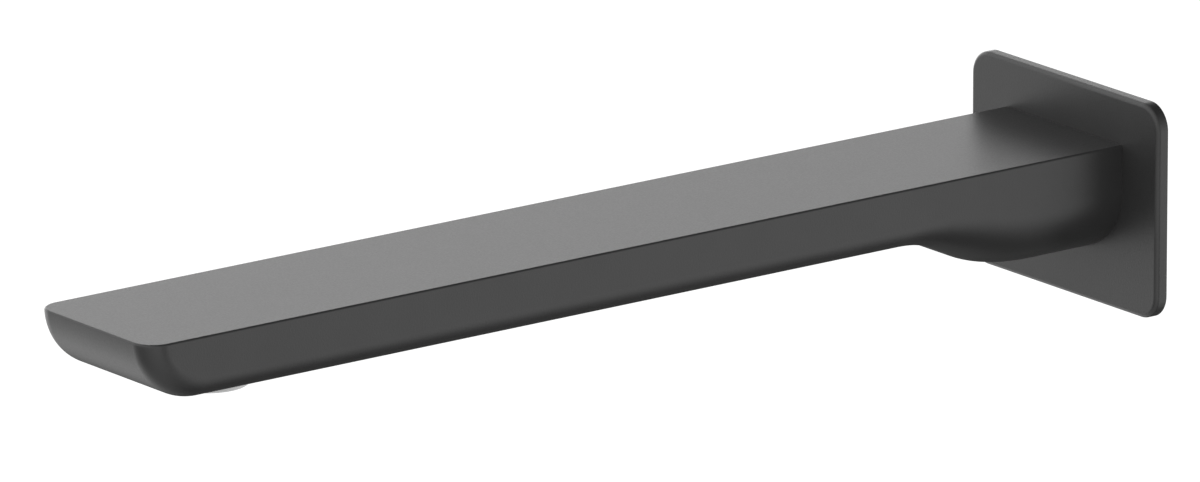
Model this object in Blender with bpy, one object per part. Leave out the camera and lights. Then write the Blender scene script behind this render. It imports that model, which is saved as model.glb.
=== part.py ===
# Bath spout on a rectangular wall plate, with its inlet nipple and its aerator.
# Metres, +Z up. The wall is the plane y = 0, the spout runs towards -Y, and the
# inlet's axis is the Y axis.

from math import cos, pi, radians, sin, sqrt, tan

import bmesh
import bpy
from mathutils import Vector

# Wall plate
PLATE_WIDTH = 0.0611
PLATE_HEIGHT = 0.04567
PLATE_FRONT = 0.00283
PLATE_CORNER_RADIUS = 0.00536
PLATE_FRONT_ROUND = 0.00095

# Seal behind the plate
SEAL_MARGIN = 0.0016
SEAL_WIDTH = 0.0045
SEAL_THICKNESS = 0.0013
SEAL_CLEARANCE = 0.0003
SEAL_LEAST_RADIUS = 0.0012

# Spout body
BODY_WIDTH = 0.03832
REACH = 0.2500
TOP_HEIGHT = 0.0126
BAR_THICKNESS = 0.01315
EDGE_RADIUS = 0.0050
TOP_EDGE_ROUND = 0.00045
BODY_GAP = 0.0002

# Nose, a quarter ellipse in side view
NOSE_RUN = 0.01424
NOSE_RISE_OVER_BAR = 0.0005

# Belly: the deep end at the wall, and the S that leads down to it
BELLY_DEPTH = 0.02510
DROP_START = 0.0602
DROP_ANGLE = radians(24.85)
DROP_HOLLOW_RADIUS = 0.0299
DROP_BELLY_RADIUS = 0.0427
BELLY_CORNER_RISE = 0.01465
BELLY_FLAT_SHARE = 0.03
BELLY_BLEND_POWER = 0.81

# Inlet nipple, half-inch pipe thread outside the wall and a smooth spigot inside the spout
THREAD_RADIUS = 0.01048
THREAD_LENGTH = 0.0155
THREAD_START = 0.0010
THREAD_CHAMFER = 0.0009
RELIEF_RADIUS = 0.0076
SPIGOT_RADIUS = 0.0084
SPIGOT_END = 0.0252
SPIGOT_CHAMFER = 0.0007
NIPPLE_BORE_RADIUS = 0.0047
HEX_KEY_FLATS = 0.0100
HEX_KEY_DEPTH = 0.0080
PLATE_HOLE_CLEARANCE = 0.0004
SOCKET_CLEARANCE = 0.0002
SOCKET_END_CLEARANCE = 0.0010

# O-rings on the spigot
RING_SECTION_RADIUS = 0.00072
RING_GROOVE_WIDTH = 0.0019
RING_GROOVE_CLEARANCE = 0.00006
RING_FRONT_SETBACK = 0.0045
RING_SPACING = 0.0050

# Grub screw under the belly
SCREW_FROM_WALL = 0.0095
SCREW_RADIUS = 0.0024
SCREW_HOLE_CLEARANCE = 0.0002
SCREW_RECESS = 0.0006
SCREW_EDGE = 0.0003
SCREW_POINT_RADIUS = 0.0012
SCREW_POINT_LENGTH = 0.0013
SCREW_KEY_FLATS = 0.0025
SCREW_KEY_DEPTH = 0.0018
SCREW_GROOVE_DEPTH = 0.0012
SCREW_GROOVE_CLEARANCE = 0.0003

# Waterway
SIDE_WALL = 0.0071
FLOOR_WALL = 0.0027
ROOF_WALL = 0.0023
WATERWAY_RAMP = 0.0160
OUTLET_CHANNEL_HEIGHT = 0.0023
OUTLET_CHANNEL_RAMP = 0.0360
OUTLET_CHANNEL_LEAD = 0.0157
SEAT_LEDGE = 0.0011
WATERWAY_SQUARENESS = 5
CHANNEL_END_ANGLE = radians(82)

# Aerator
OUTLET_SETBACK = 0.02842
AERATOR_THREAD_RADIUS = 0.00922
AERATOR_SEAT_CLEARANCE = 0.0002
AERATOR_LIP_RADIUS = 0.0085
AERATOR_LIP_DROP = 0.00317
AERATOR_LIP_ROUND = 0.0004
AERATOR_WALL = 0.0011
AERATOR_RIM_WIDTH = 0.0006
AERATOR_RIM_HEIGHT = 0.0005
AERATOR_FIT = 0.00012
WASHER_THICKNESS = 0.0013
WASHER_EDGE = 0.0002
WASHER_SEAT_GAP = 0.0002
SEAT_OPENING_MARGIN = 0.0019
HONEYCOMB_HEIGHT = 0.0021
HONEYCOMB_PITCH = 0.0019
HONEYCOMB_WEB = 0.00028
HONEYCOMB_RINGS = 3
JET_PLATE_HEIGHT = 0.0012
JET_PLATE_RISE = 0.0032
JET_HOLE_RADIUS = 0.00045
JET_RINGS = ((8, 0.38), (14, 0.72))
SCREEN_THICKNESS = 0.00035
SCREEN_RIM_HEIGHT = 0.0005
SCREEN_DOME_ANGLE = radians(78)

# Smoothness
SMOOTH_ANGLE = radians(35)
ROUND_STEPS = 48
RING_STEPS = 36
RING_SECTION_STEPS = 8
SCREW_STEPS = 24
NOSE_STEPS = 16
CORNER_STEPS = 12
TOP_ROUND_STEPS = 3
BAR_STEPS = 4
HOLLOW_STEPS = 6
BELLY_STEPS = 8
PLATE_ROUND_STEPS = 4
LIP_STEPS = 4
WATERWAY_STEPS_ROUND = 32
WATERWAY_STEPS_ALONG = 8
CHANNEL_END_STEPS = 7
JET_HOLE_SIDES = 8
SCREEN_STEPS_ROUND = 18
SCREEN_STEPS_UP = 3
BISECTIONS = 40

# Sizes that follow from those above
HALF_WIDTH = BODY_WIDTH / 2
BAR_BOTTOM = TOP_HEIGHT - BAR_THICKNESS
BELLY_BOTTOM = TOP_HEIGHT - BELLY_DEPTH
BODY_REAR = -(PLATE_FRONT + BODY_GAP)
NOSE_RISE = BAR_THICKNESS + NOSE_RISE_OVER_BAR
BELLY_CORNER_RUN = HALF_WIDTH * (1 - BELLY_FLAT_SHARE)
SOCKET_RADIUS = SPIGOT_RADIUS + SOCKET_CLEARANCE
SOCKET_END = -(SPIGOT_END + SOCKET_END_CLEARANCE)
PLATE_HOLE_RADIUS = THREAD_RADIUS + PLATE_HOLE_CLEARANCE
RING_RADIUS = SPIGOT_RADIUS - RING_SECTION_RADIUS + SOCKET_CLEARANCE / 2
RING_GROOVE_RADIUS = RING_RADIUS - RING_SECTION_RADIUS - RING_GROOVE_CLEARANCE
RING_FRONT_Y = -(SPIGOT_END - RING_FRONT_SETBACK)
RING_REAR_Y = RING_FRONT_Y + RING_SPACING
SCREW_HOLE_RADIUS = SCREW_RADIUS + SCREW_HOLE_CLEARANCE
SCREW_GROOVE_RADIUS = SPIGOT_RADIUS - SCREW_GROOVE_DEPTH
SCREW_GROOVE_HALF_WIDTH = SCREW_POINT_RADIUS + SCREW_GROOVE_CLEARANCE
WATERWAY_HALF_WIDTH = HALF_WIDTH - SIDE_WALL
WATERWAY_ROOF = TOP_HEIGHT - ROOF_WALL
WATERWAY_FLOOR = BAR_BOTTOM + FLOOR_WALL
OUTLET_CHANNEL_FLOOR = WATERWAY_ROOF - OUTLET_CHANNEL_HEIGHT
OUTLET_Y = -(REACH - OUTLET_SETBACK)
SEAT_TOP = OUTLET_CHANNEL_FLOOR - SEAT_LEDGE
SEAT_RADIUS = AERATOR_THREAD_RADIUS + AERATOR_SEAT_CLEARANCE
SEAT_OPENING_RADIUS = AERATOR_THREAD_RADIUS - SEAT_OPENING_MARGIN
WASHER_TOP = SEAT_TOP - WASHER_SEAT_GAP
SHELL_TOP = WASHER_TOP - WASHER_THICKNESS - WASHER_SEAT_GAP
SHELL_BOTTOM = BAR_BOTTOM - AERATOR_LIP_DROP
SHELL_BORE_RADIUS = AERATOR_LIP_RADIUS - AERATOR_WALL
INSERT_RADIUS = SHELL_BORE_RADIUS - AERATOR_FIT
HONEYCOMB_BOTTOM = SHELL_BOTTOM + AERATOR_RIM_HEIGHT + AERATOR_FIT
JET_PLATE_BOTTOM = HONEYCOMB_BOTTOM + JET_PLATE_RISE
SCREEN_BOTTOM = JET_PLATE_BOTTOM + JET_PLATE_HEIGHT + AERATOR_FIT
SCREEN_HEIGHT = SHELL_TOP - SCREEN_BOTTOM - AERATOR_FIT


def clear_scene():
    for obj in list(bpy.data.objects):
        bpy.data.objects.remove(obj, do_unlink=True)


def surface(name, colour, roughness, metallic=0.0):
    material = bpy.data.materials.new(name)
    material.use_nodes = True
    shader = material.node_tree.nodes["Principled BSDF"]
    shader.inputs["Base Color"].default_value = (*colour, 1.0)
    shader.inputs["Roughness"].default_value = roughness
    shader.inputs["Metallic"].default_value = metallic
    return material


def add_object(name, bm, material=None, smooth=True):
    """Turns a bmesh into an object with outward faces, smooth across all but its sharp edges."""
    bmesh.ops.recalc_face_normals(bm, faces=bm.faces[:])
    for face in bm.faces:
        face.smooth = smooth
    mesh = bpy.data.meshes.new(name)
    bm.to_mesh(mesh)
    bm.free()
    mesh.set_sharp_from_angle(angle=SMOOTH_ANGLE)
    obj = bpy.data.objects.new(name, mesh)
    bpy.context.scene.collection.objects.link(obj)
    if material:
        mesh.materials.append(material)
    return obj


def add_cutter(name, bm):
    """A closed shape that only Booleans see."""
    cutter = add_object(name, bm, smooth=False)
    cutter.hide_render = True
    cutter.display_type = "WIRE"
    return cutter


def cut(obj, cutter):
    modifier = obj.modifiers.new(cutter.name, "BOOLEAN")
    modifier.operation = "DIFFERENCE"
    modifier.solver = "EXACT"
    modifier.object = cutter


def turned(profile, axis, steps=ROUND_STEPS):
    """Spins a closed profile of (radius, height) points about the Y or the Z axis."""
    bm = bmesh.new()
    if axis == "Y":
        points = [Vector((radius, height, 0)) for radius, height in profile]
        direction = Vector((0, 1, 0))
    else:
        points = [Vector((radius, 0, height)) for radius, height in profile]
        direction = Vector((0, 0, 1))
    verts = [bm.verts.new(point) for point in points]
    for first, second in zip(verts, verts[1:] + verts[:1]):
        bm.edges.new((first, second))
    bmesh.ops.spin(
        bm,
        geom=bm.verts[:] + bm.edges[:],
        cent=(0, 0, 0),
        axis=direction,
        angle=2 * pi,
        steps=steps,
        use_merge=True,
    )
    bmesh.ops.remove_doubles(bm, verts=bm.verts[:], dist=1e-7)
    return bm


def prism(bm, sides, radius, centre, axis, low, high, turn=0.0):
    """Adds a closed prism from low to high along the Y or the Z axis."""
    loops = []
    for height in (low, high):
        loop = []
        for step in range(sides):
            angle = turn + 2 * pi * step / sides
            across = radius * cos(angle)
            up = radius * sin(angle)
            if axis == "Y":
                point = Vector((across, height, up))
            else:
                point = Vector((across, up, height))
            loop.append(bm.verts.new(point + Vector(centre)))
        loops.append(loop)
    bm.faces.new(loops[0])
    bm.faces.new(loops[1])
    for step in range(sides):
        after = (step + 1) % sides
        bm.faces.new((loops[0][step], loops[0][after], loops[1][after], loops[1][step]))


def rounded_rectangle(width, height, radius, steps=CORNER_STEPS):
    """Outline points with their outward normals, counterclockwise in the XZ plane."""
    outline = []
    centres = (
        (width / 2 - radius, height / 2 - radius),
        (radius - width / 2, height / 2 - radius),
        (radius - width / 2, radius - height / 2),
        (width / 2 - radius, radius - height / 2),
    )
    for corner, (x, z) in enumerate(centres):
        for step in range(steps + 1):
            angle = (corner + step / steps) * pi / 2
            normal = Vector((cos(angle), 0, sin(angle)))
            outline.append((Vector((x, 0, z)) + normal * radius, normal))
    return outline


def bridge_rings(bm, rings, closed=False):
    """Joins point rings of equal length in order, and caps the two ends unless the last meets the first."""
    loops = [[bm.verts.new(point) for point in ring] for ring in rings]
    pairs = list(zip(loops, loops[1:]))
    if closed:
        pairs.append((loops[-1], loops[0]))
    else:
        bm.faces.new(loops[0])
        bm.faces.new(loops[-1])
    for first, second in pairs:
        for step in range(len(first)):
            after = (step + 1) % len(first)
            bm.faces.new((first[step], first[after], second[after], second[step]))


def plate_ring(inset, y, width=PLATE_WIDTH, height=PLATE_HEIGHT, radius=PLATE_CORNER_RADIUS):
    outline = rounded_rectangle(width, height, radius)
    return [point - normal * inset + Vector((0, y, 0)) for point, normal in outline]


def seal_ring(margin, y):
    """An outline at one margin inside the plate's edge."""
    width = PLATE_WIDTH - 2 * margin
    height = PLATE_HEIGHT - 2 * margin
    radius = max(PLATE_CORNER_RADIUS - margin, SEAL_LEAST_RADIUS)
    return plate_ring(0, y, width, height, radius)


def build_wall_plate(material):
    """A flat plate with a rounded front edge, a hole for the nipple and a groove for the seal."""
    bm = bmesh.new()
    rings = [plate_ring(0, 0)]
    for step in range(PLATE_ROUND_STEPS + 1):
        angle = pi / 2 * step / PLATE_ROUND_STEPS
        inset = PLATE_FRONT_ROUND * (1 - cos(angle))
        rings.append(plate_ring(inset, PLATE_FRONT_ROUND * (1 - sin(angle)) - PLATE_FRONT))
    bridge_rings(bm, rings)
    plate = add_object("wall_plate", bm, material)

    bm = bmesh.new()
    prism(bm, ROUND_STEPS, PLATE_HOLE_RADIUS, (0, 0, 0), "Y", -2 * PLATE_FRONT, PLATE_FRONT)
    cut(plate, add_cutter("plate_hole_cutter", bm))

    bm = bmesh.new()
    depth = -(SEAL_THICKNESS + SEAL_CLEARANCE)
    outer = SEAL_MARGIN - SEAL_CLEARANCE
    inner = SEAL_MARGIN + SEAL_WIDTH + SEAL_CLEARANCE
    rings = [
        seal_ring(outer, PLATE_FRONT),
        seal_ring(outer, depth),
        seal_ring(inner, depth),
        seal_ring(inner, PLATE_FRONT),
    ]
    bridge_rings(bm, rings, closed=True)
    cut(plate, add_cutter("seal_groove_cutter", bm))
    return plate


def build_plate_seal(material):
    """The foam ring in the plate's groove, pressed flush with the plate's back by the wall."""
    bm = bmesh.new()
    rings = [
        seal_ring(SEAL_MARGIN, 0),
        seal_ring(SEAL_MARGIN, -SEAL_THICKNESS),
        seal_ring(SEAL_MARGIN + SEAL_WIDTH, -SEAL_THICKNESS),
        seal_ring(SEAL_MARGIN + SEAL_WIDTH, 0),
    ]
    bridge_rings(bm, rings, closed=True)
    return add_object("plate_seal", bm, material)


def underside_stations():
    """(y, z) along the underside from the end of the nose to the wall plate."""
    start = NOSE_RUN - REACH
    drop = -DROP_START
    stations = [(start + (drop - start) * step / BAR_STEPS, BAR_BOTTOM) for step in range(1, BAR_STEPS)]
    for step in range(HOLLOW_STEPS + 1):
        angle = DROP_ANGLE * step / HOLLOW_STEPS
        y = drop + DROP_HOLLOW_RADIUS * sin(angle)
        z = BAR_BOTTOM - DROP_HOLLOW_RADIUS * (1 - cos(angle))
        stations.append((y, z))
    hollow_end_y, hollow_end_z = stations[-1]
    belly_start_z = BELLY_BOTTOM + DROP_BELLY_RADIUS * (1 - cos(DROP_ANGLE))
    run = (hollow_end_z - belly_start_z) / tan(DROP_ANGLE)
    belly_start_y = hollow_end_y + run
    middle = ((hollow_end_y + belly_start_y) / 2, (hollow_end_z + belly_start_z) / 2)
    stations.append(middle)
    belly_end_y = belly_start_y + DROP_BELLY_RADIUS * sin(DROP_ANGLE)
    for step in range(BELLY_STEPS + 1):
        angle = DROP_ANGLE * (1 - step / BELLY_STEPS)
        y = belly_end_y - DROP_BELLY_RADIUS * sin(angle)
        z = BELLY_BOTTOM + DROP_BELLY_RADIUS * (1 - cos(angle))
        stations.append((y, z))
    stations.append(((belly_end_y + BODY_REAR) / 2, BELLY_BOTTOM))
    stations.append((BODY_REAR, BELLY_BOTTOM))
    return stations


def nose_point(angle, across):
    """A point of the nose: angle runs down the quarter ellipse, across runs round the corner."""
    normal = Vector((0, -cos(angle) / NOSE_RUN, -sin(angle) / NOSE_RISE)).normalized()
    on_ellipse = Vector((0, NOSE_RUN * (1 - cos(angle)) - REACH, BAR_BOTTOM + NOSE_RISE * (1 - sin(angle))))
    point = on_ellipse - normal * EDGE_RADIUS * (1 - sin(across))
    point.x = HALF_WIDTH - EDGE_RADIUS * (1 - cos(across))
    return point


def nose_start_angle(across):
    """The angle at which a nose line leaves the top edge's rounding, found by bisection."""
    low, high = 0.0, pi / 4
    for _ in range(BISECTIONS):
        middle = (low + high) / 2
        if nose_point(middle, across).z > TOP_HEIGHT - TOP_EDGE_ROUND:
            low = middle
        else:
            high = middle
    return (low + high) / 2


def body_rows():
    """Rows of points down one side of the body, each from the side face to the middle of the underside."""
    turns = [pi / 2 * step / CORNER_STEPS for step in range(CORNER_STEPS + 1)]
    rows = []
    starts = [nose_start_angle(across) for across in turns]
    for step in range(NOSE_STEPS + 1):
        share = step / NOSE_STEPS
        row = [nose_point(begin + (pi / 2 - begin) * share, across) for begin, across in zip(starts, turns)]
        rows.append(row)
    for y, z in underside_stations():
        share = ((BAR_BOTTOM - z) / (BAR_BOTTOM - BELLY_BOTTOM)) ** BELLY_BLEND_POWER
        run = EDGE_RADIUS + (BELLY_CORNER_RUN - EDGE_RADIUS) * share
        rise = EDGE_RADIUS + (BELLY_CORNER_RISE - EDGE_RADIUS) * share
        row = []
        for across in turns:
            x = HALF_WIDTH - run * (1 - cos(across))
            row.append(Vector((x, y, z + rise * (1 - sin(across)))))
        rows.append(row)
    return rows


def mirrored(point):
    return Vector((-point.x, point.y, point.z))


def build_body_skin():
    """The outside of the body as one closed mesh."""
    bm = bmesh.new()
    rows = []
    for row in body_rows():
        left = [mirrored(point) for point in row]
        rows.append([bm.verts.new(point) for point in row + left[::-1]])
    for first, second in zip(rows, rows[1:]):
        for step in range(len(first) - 1):
            bm.faces.new((first[step], first[step + 1], second[step + 1], second[step]))

    edge_height = TOP_HEIGHT - TOP_EDGE_ROUND
    sides = []
    for side in (0, -1):
        line = [rows[0][side]]
        for row in rows[1:]:
            line.append(bm.verts.new((row[side].co.x, row[side].co.y, edge_height)))
        bm.faces.new((rows[0][side], rows[1][side], line[1]))
        for step in range(1, len(rows) - 1):
            bm.faces.new((rows[step][side], rows[step + 1][side], line[step + 1], line[step]))
        sides.append(line)

    rim = sides[0][:0:-1] + rows[0] + sides[1][1:]
    normals = rim_normals(len(rows) - 1)
    rings = [rim]
    for step in range(1, TOP_ROUND_STEPS + 1):
        angle = pi / 2 * step / TOP_ROUND_STEPS
        inset = TOP_EDGE_ROUND * (1 - cos(angle))
        rise = Vector((0, 0, TOP_EDGE_ROUND * sin(angle)))
        rings.append([bm.verts.new(vert.co - normal * inset + rise) for vert, normal in zip(rim, normals)])
    for lower, upper in zip(rings, rings[1:]):
        for index in range(len(rim) - 1):
            bm.faces.new((lower[index], lower[index + 1], upper[index + 1], upper[index]))
    bm.faces.new(rings[-1])
    bm.faces.new(rows[-1] + [ring[-1] for ring in rings] + [ring[0] for ring in rings[::-1]])
    return bm


def rim_normals(side_count):
    """Outward plan normals of the top rim: one side, round the nose, and back along the other side."""
    turns = [pi / 2 * step / CORNER_STEPS for step in range(CORNER_STEPS + 1)]
    right = [Vector((cos(turn), -sin(turn), 0)) for turn in turns]
    left = [mirrored(normal) for normal in right[::-1]]
    side = [Vector((1, 0, 0))] * side_count
    return side + right + left + [mirrored(normal) for normal in side]


def blended(low, high, share):
    """Eases from low to high as share goes from 0 to 1."""
    share = min(max(share, 0.0), 1.0)
    return low + (high - low) * share * share * (3 - 2 * share)


def waterway_ring(y, half_width, low, high, squareness=WATERWAY_SQUARENESS):
    """A rounded opening across the waterway. Squareness 2 gives an ellipse."""
    ring = []
    for step in range(WATERWAY_STEPS_ROUND):
        angle = 2 * pi * (step + 0.5) / WATERWAY_STEPS_ROUND
        across = abs(cos(angle)) ** (2 / squareness)
        up = abs(sin(angle)) ** (2 / squareness)
        x = half_width * (across if cos(angle) > 0 else -across)
        z = (high - low) / 2 * (up if sin(angle) > 0 else -up)
        ring.append(Vector((x, y, (low + high) / 2 + z)))
    return ring


def build_waterway_cutter():
    """The cored passage from the socket, up over the drop and along the bar to the outlet."""
    throat = SOCKET_RADIUS - SEAT_LEDGE
    rings = [waterway_ring(SOCKET_END + SEAT_LEDGE, throat, -throat, throat, 2)]
    for step in range(WATERWAY_STEPS_ALONG + 1):
        share = step / WATERWAY_STEPS_ALONG
        rings.append(
            waterway_ring(
                SOCKET_END - SEAT_LEDGE - WATERWAY_RAMP * share,
                blended(throat, WATERWAY_HALF_WIDTH, share),
                blended(-throat, WATERWAY_FLOOR, share),
                blended(throat, WATERWAY_ROOF, share),
                blended(2, WATERWAY_SQUARENESS, share),
            )
        )
    channel_end = OUTLET_Y + OUTLET_CHANNEL_LEAD
    for step in range(WATERWAY_STEPS_ALONG + 1):
        share = step / WATERWAY_STEPS_ALONG
        floor = blended(WATERWAY_FLOOR, OUTLET_CHANNEL_FLOOR, share)
        y = channel_end + OUTLET_CHANNEL_RAMP * (1 - share)
        rings.append(waterway_ring(y, WATERWAY_HALF_WIDTH, floor, WATERWAY_ROOF))
    for step in range(1, CHANNEL_END_STEPS + 1):
        angle = CHANNEL_END_ANGLE * step / CHANNEL_END_STEPS
        y = OUTLET_Y - WATERWAY_HALF_WIDTH * sin(angle)
        half_width = WATERWAY_HALF_WIDTH * cos(angle)
        rings.append(waterway_ring(y, half_width, OUTLET_CHANNEL_FLOOR, WATERWAY_ROOF))
    bm = bmesh.new()
    bridge_rings(bm, rings)
    return add_cutter("waterway_cutter", bm)


def build_spout_body(material):
    """The casting: outer skin, waterway, inlet socket, aerator seat and the hole for the grub screw."""
    body = add_object("spout_body", build_body_skin(), material)
    cut(body, build_waterway_cutter())

    bm = bmesh.new()
    prism(bm, ROUND_STEPS, SOCKET_RADIUS, (0, 0, 0), "Y", SOCKET_END, PLATE_FRONT)
    cut(body, add_cutter("socket_cutter", bm))

    bm = bmesh.new()
    outlet = (0, OUTLET_Y, 0)
    prism(bm, ROUND_STEPS, SEAT_RADIUS, outlet, "Z", BAR_BOTTOM - BAR_THICKNESS, SEAT_TOP)
    cut(body, add_cutter("aerator_seat_cutter", bm))

    bm = bmesh.new()
    middle = OUTLET_CHANNEL_FLOOR + OUTLET_CHANNEL_HEIGHT / 2
    prism(bm, ROUND_STEPS, SEAT_OPENING_RADIUS, outlet, "Z", SEAT_TOP - SEAT_LEDGE, middle)
    cut(body, add_cutter("outlet_opening_cutter", bm))

    bm = bmesh.new()
    screw = (0, -SCREW_FROM_WALL, 0)
    prism(bm, SCREW_STEPS, SCREW_HOLE_RADIUS, screw, "Z", 2 * BELLY_BOTTOM, -SOCKET_RADIUS / 2)
    cut(body, add_cutter("screw_hole_cutter", bm))
    return body


def build_inlet_nipple(material):
    """Turned nipple: pipe thread for the wall, then a grooved spigot with a hexagon for a key."""
    thread_end = THREAD_START + THREAD_LENGTH
    screw_low = -SCREW_FROM_WALL - SCREW_GROOVE_HALF_WIDTH
    screw_high = -SCREW_FROM_WALL + SCREW_GROOVE_HALF_WIDTH
    half_groove = RING_GROOVE_WIDTH / 2
    profile = [
        (NIPPLE_BORE_RADIUS, -SPIGOT_END),
        (NIPPLE_BORE_RADIUS, thread_end),
        (THREAD_RADIUS - THREAD_CHAMFER, thread_end),
        (THREAD_RADIUS, thread_end - THREAD_CHAMFER),
        (THREAD_RADIUS, THREAD_START),
        (RELIEF_RADIUS, THREAD_START - THREAD_CHAMFER),
        (RELIEF_RADIUS, -THREAD_CHAMFER),
        (SPIGOT_RADIUS, -2 * THREAD_CHAMFER),
        (SPIGOT_RADIUS, screw_high),
        (SCREW_GROOVE_RADIUS, screw_high),
        (SCREW_GROOVE_RADIUS, screw_low),
        (SPIGOT_RADIUS, screw_low),
    ]
    for y in (RING_REAR_Y, RING_FRONT_Y):
        profile += [
            (SPIGOT_RADIUS, y + half_groove),
            (RING_GROOVE_RADIUS, y + half_groove),
            (RING_GROOVE_RADIUS, y - half_groove),
            (SPIGOT_RADIUS, y - half_groove),
        ]
    profile += [
        (SPIGOT_RADIUS, -SPIGOT_END + SPIGOT_CHAMFER),
        (SPIGOT_RADIUS - SPIGOT_CHAMFER, -SPIGOT_END),
    ]
    nipple = add_object("inlet_nipple", turned(profile, "Y"), material)

    bm = bmesh.new()
    corner_radius = HEX_KEY_FLATS / 2 / cos(pi / 6)
    end = -SPIGOT_END + HEX_KEY_DEPTH
    prism(bm, 6, corner_radius, (0, 0, 0), "Y", -SPIGOT_END - HEX_KEY_DEPTH, end)
    cut(nipple, add_cutter("nipple_key_cutter", bm))
    return nipple


def build_o_ring(name, y, material):
    section = []
    for step in range(RING_SECTION_STEPS):
        angle = 2 * pi * step / RING_SECTION_STEPS
        section.append((RING_RADIUS + RING_SECTION_RADIUS * cos(angle), RING_SECTION_RADIUS * sin(angle)))
    ring = add_object(name, turned(section, "Y", steps=RING_STEPS), material)
    ring.location = (0, y, 0)
    return ring


def build_grub_screw(material):
    """Socket screw with a plain point that drops into the nipple's groove."""
    low = BELLY_BOTTOM + SCREW_RECESS
    point_tip = -SCREW_GROOVE_RADIUS - SCREW_GROOVE_CLEARANCE / 2
    point_base = point_tip - SCREW_POINT_LENGTH
    bm = bmesh.new()
    heights = (
        (SCREW_RADIUS - SCREW_EDGE, low),
        (SCREW_RADIUS, low + SCREW_EDGE),
        (SCREW_RADIUS, point_base - SCREW_EDGE),
        (SCREW_RADIUS - SCREW_EDGE, point_base),
        (SCREW_POINT_RADIUS, point_base),
        (SCREW_POINT_RADIUS, point_tip - SCREW_EDGE / 2),
        (SCREW_POINT_RADIUS - SCREW_EDGE / 2, point_tip),
    )
    turns = [2 * pi * step / SCREW_STEPS for step in range(SCREW_STEPS)]
    rings = [[Vector((radius * cos(turn), radius * sin(turn), z)) for turn in turns] for radius, z in heights]
    bridge_rings(bm, rings)
    screw = add_object("grub_screw", bm, material)
    screw.location = (0, -SCREW_FROM_WALL, 0)

    bm = bmesh.new()
    corner_radius = SCREW_KEY_FLATS / 2 / cos(pi / 6)
    centre = (0, -SCREW_FROM_WALL, 0)
    prism(bm, 6, corner_radius, centre, "Z", low - SCREW_KEY_DEPTH, low + SCREW_KEY_DEPTH)
    cut(screw, add_cutter("screw_key_cutter", bm))
    return screw


def build_aerator_shell(material):
    """Threaded cup with the lip that shows under the spout."""
    rim_radius = SHELL_BORE_RADIUS - AERATOR_RIM_WIDTH
    rim_top = SHELL_BOTTOM + AERATOR_RIM_HEIGHT
    neck = BAR_BOTTOM + AERATOR_LIP_ROUND
    profile = [
        (rim_radius, SHELL_BOTTOM),
        (rim_radius, rim_top),
        (SHELL_BORE_RADIUS, rim_top),
        (SHELL_BORE_RADIUS, SHELL_TOP),
        (AERATOR_THREAD_RADIUS - AERATOR_LIP_ROUND / 2, SHELL_TOP),
        (AERATOR_THREAD_RADIUS, SHELL_TOP - AERATOR_LIP_ROUND / 2),
        (AERATOR_THREAD_RADIUS, neck),
        (AERATOR_LIP_RADIUS, neck),
    ]
    for step in range(LIP_STEPS + 1):
        angle = pi / 2 * step / LIP_STEPS
        radius = AERATOR_LIP_RADIUS - AERATOR_LIP_ROUND * (1 - cos(angle))
        profile.append((radius, SHELL_BOTTOM + AERATOR_LIP_ROUND * (1 - sin(angle))))
    shell = add_object("aerator_shell", turned(profile, "Z"), material)
    shell.location = (0, OUTLET_Y, 0)
    return shell


def disc(radius, low, high, steps=RING_STEPS):
    bm = bmesh.new()
    prism(bm, steps, radius, (0, 0, 0), "Z", low, high)
    return bm


def build_honeycomb(material):
    """Outlet grid: a disc with a close pattern of six-sided cells."""
    top = HONEYCOMB_BOTTOM + HONEYCOMB_HEIGHT
    grid = add_object("aerator_honeycomb", disc(INSERT_RADIUS, HONEYCOMB_BOTTOM, top), material)
    grid.location = (0, OUTLET_Y, 0)
    bm = bmesh.new()
    cell_radius = (HONEYCOMB_PITCH - HONEYCOMB_WEB) / 2 / cos(pi / 6)
    for row in range(-HONEYCOMB_RINGS, HONEYCOMB_RINGS + 1):
        for column in range(-HONEYCOMB_RINGS, HONEYCOMB_RINGS + 1):
            if abs(row + column) > HONEYCOMB_RINGS:
                continue
            x = HONEYCOMB_PITCH * (column + row / 2)
            y = HONEYCOMB_PITCH * row * sqrt(3) / 2
            centre = (x, OUTLET_Y + y, 0)
            low = HONEYCOMB_BOTTOM - HONEYCOMB_HEIGHT
            prism(bm, 6, cell_radius, centre, "Z", low, top + HONEYCOMB_HEIGHT, turn=pi / 6)
    cut(grid, add_cutter("honeycomb_cutter", bm))
    return grid


def build_jet_plate(material):
    """Plate whose rings of small holes split the water into jets."""
    top = JET_PLATE_BOTTOM + JET_PLATE_HEIGHT
    plate = add_object("aerator_jet_plate", disc(INSERT_RADIUS, JET_PLATE_BOTTOM, top), material)
    plate.location = (0, OUTLET_Y, 0)
    bm = bmesh.new()
    for count, share in JET_RINGS:
        for step in range(count):
            angle = 2 * pi * step / count
            radius = INSERT_RADIUS * share
            centre = (radius * cos(angle), OUTLET_Y + radius * sin(angle), 0)
            low = JET_PLATE_BOTTOM - JET_PLATE_HEIGHT
            prism(bm, JET_HOLE_SIDES, JET_HOLE_RADIUS, centre, "Z", low, top + JET_PLATE_HEIGHT)
    cut(plate, add_cutter("jet_hole_cutter", bm))
    return plate


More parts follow.
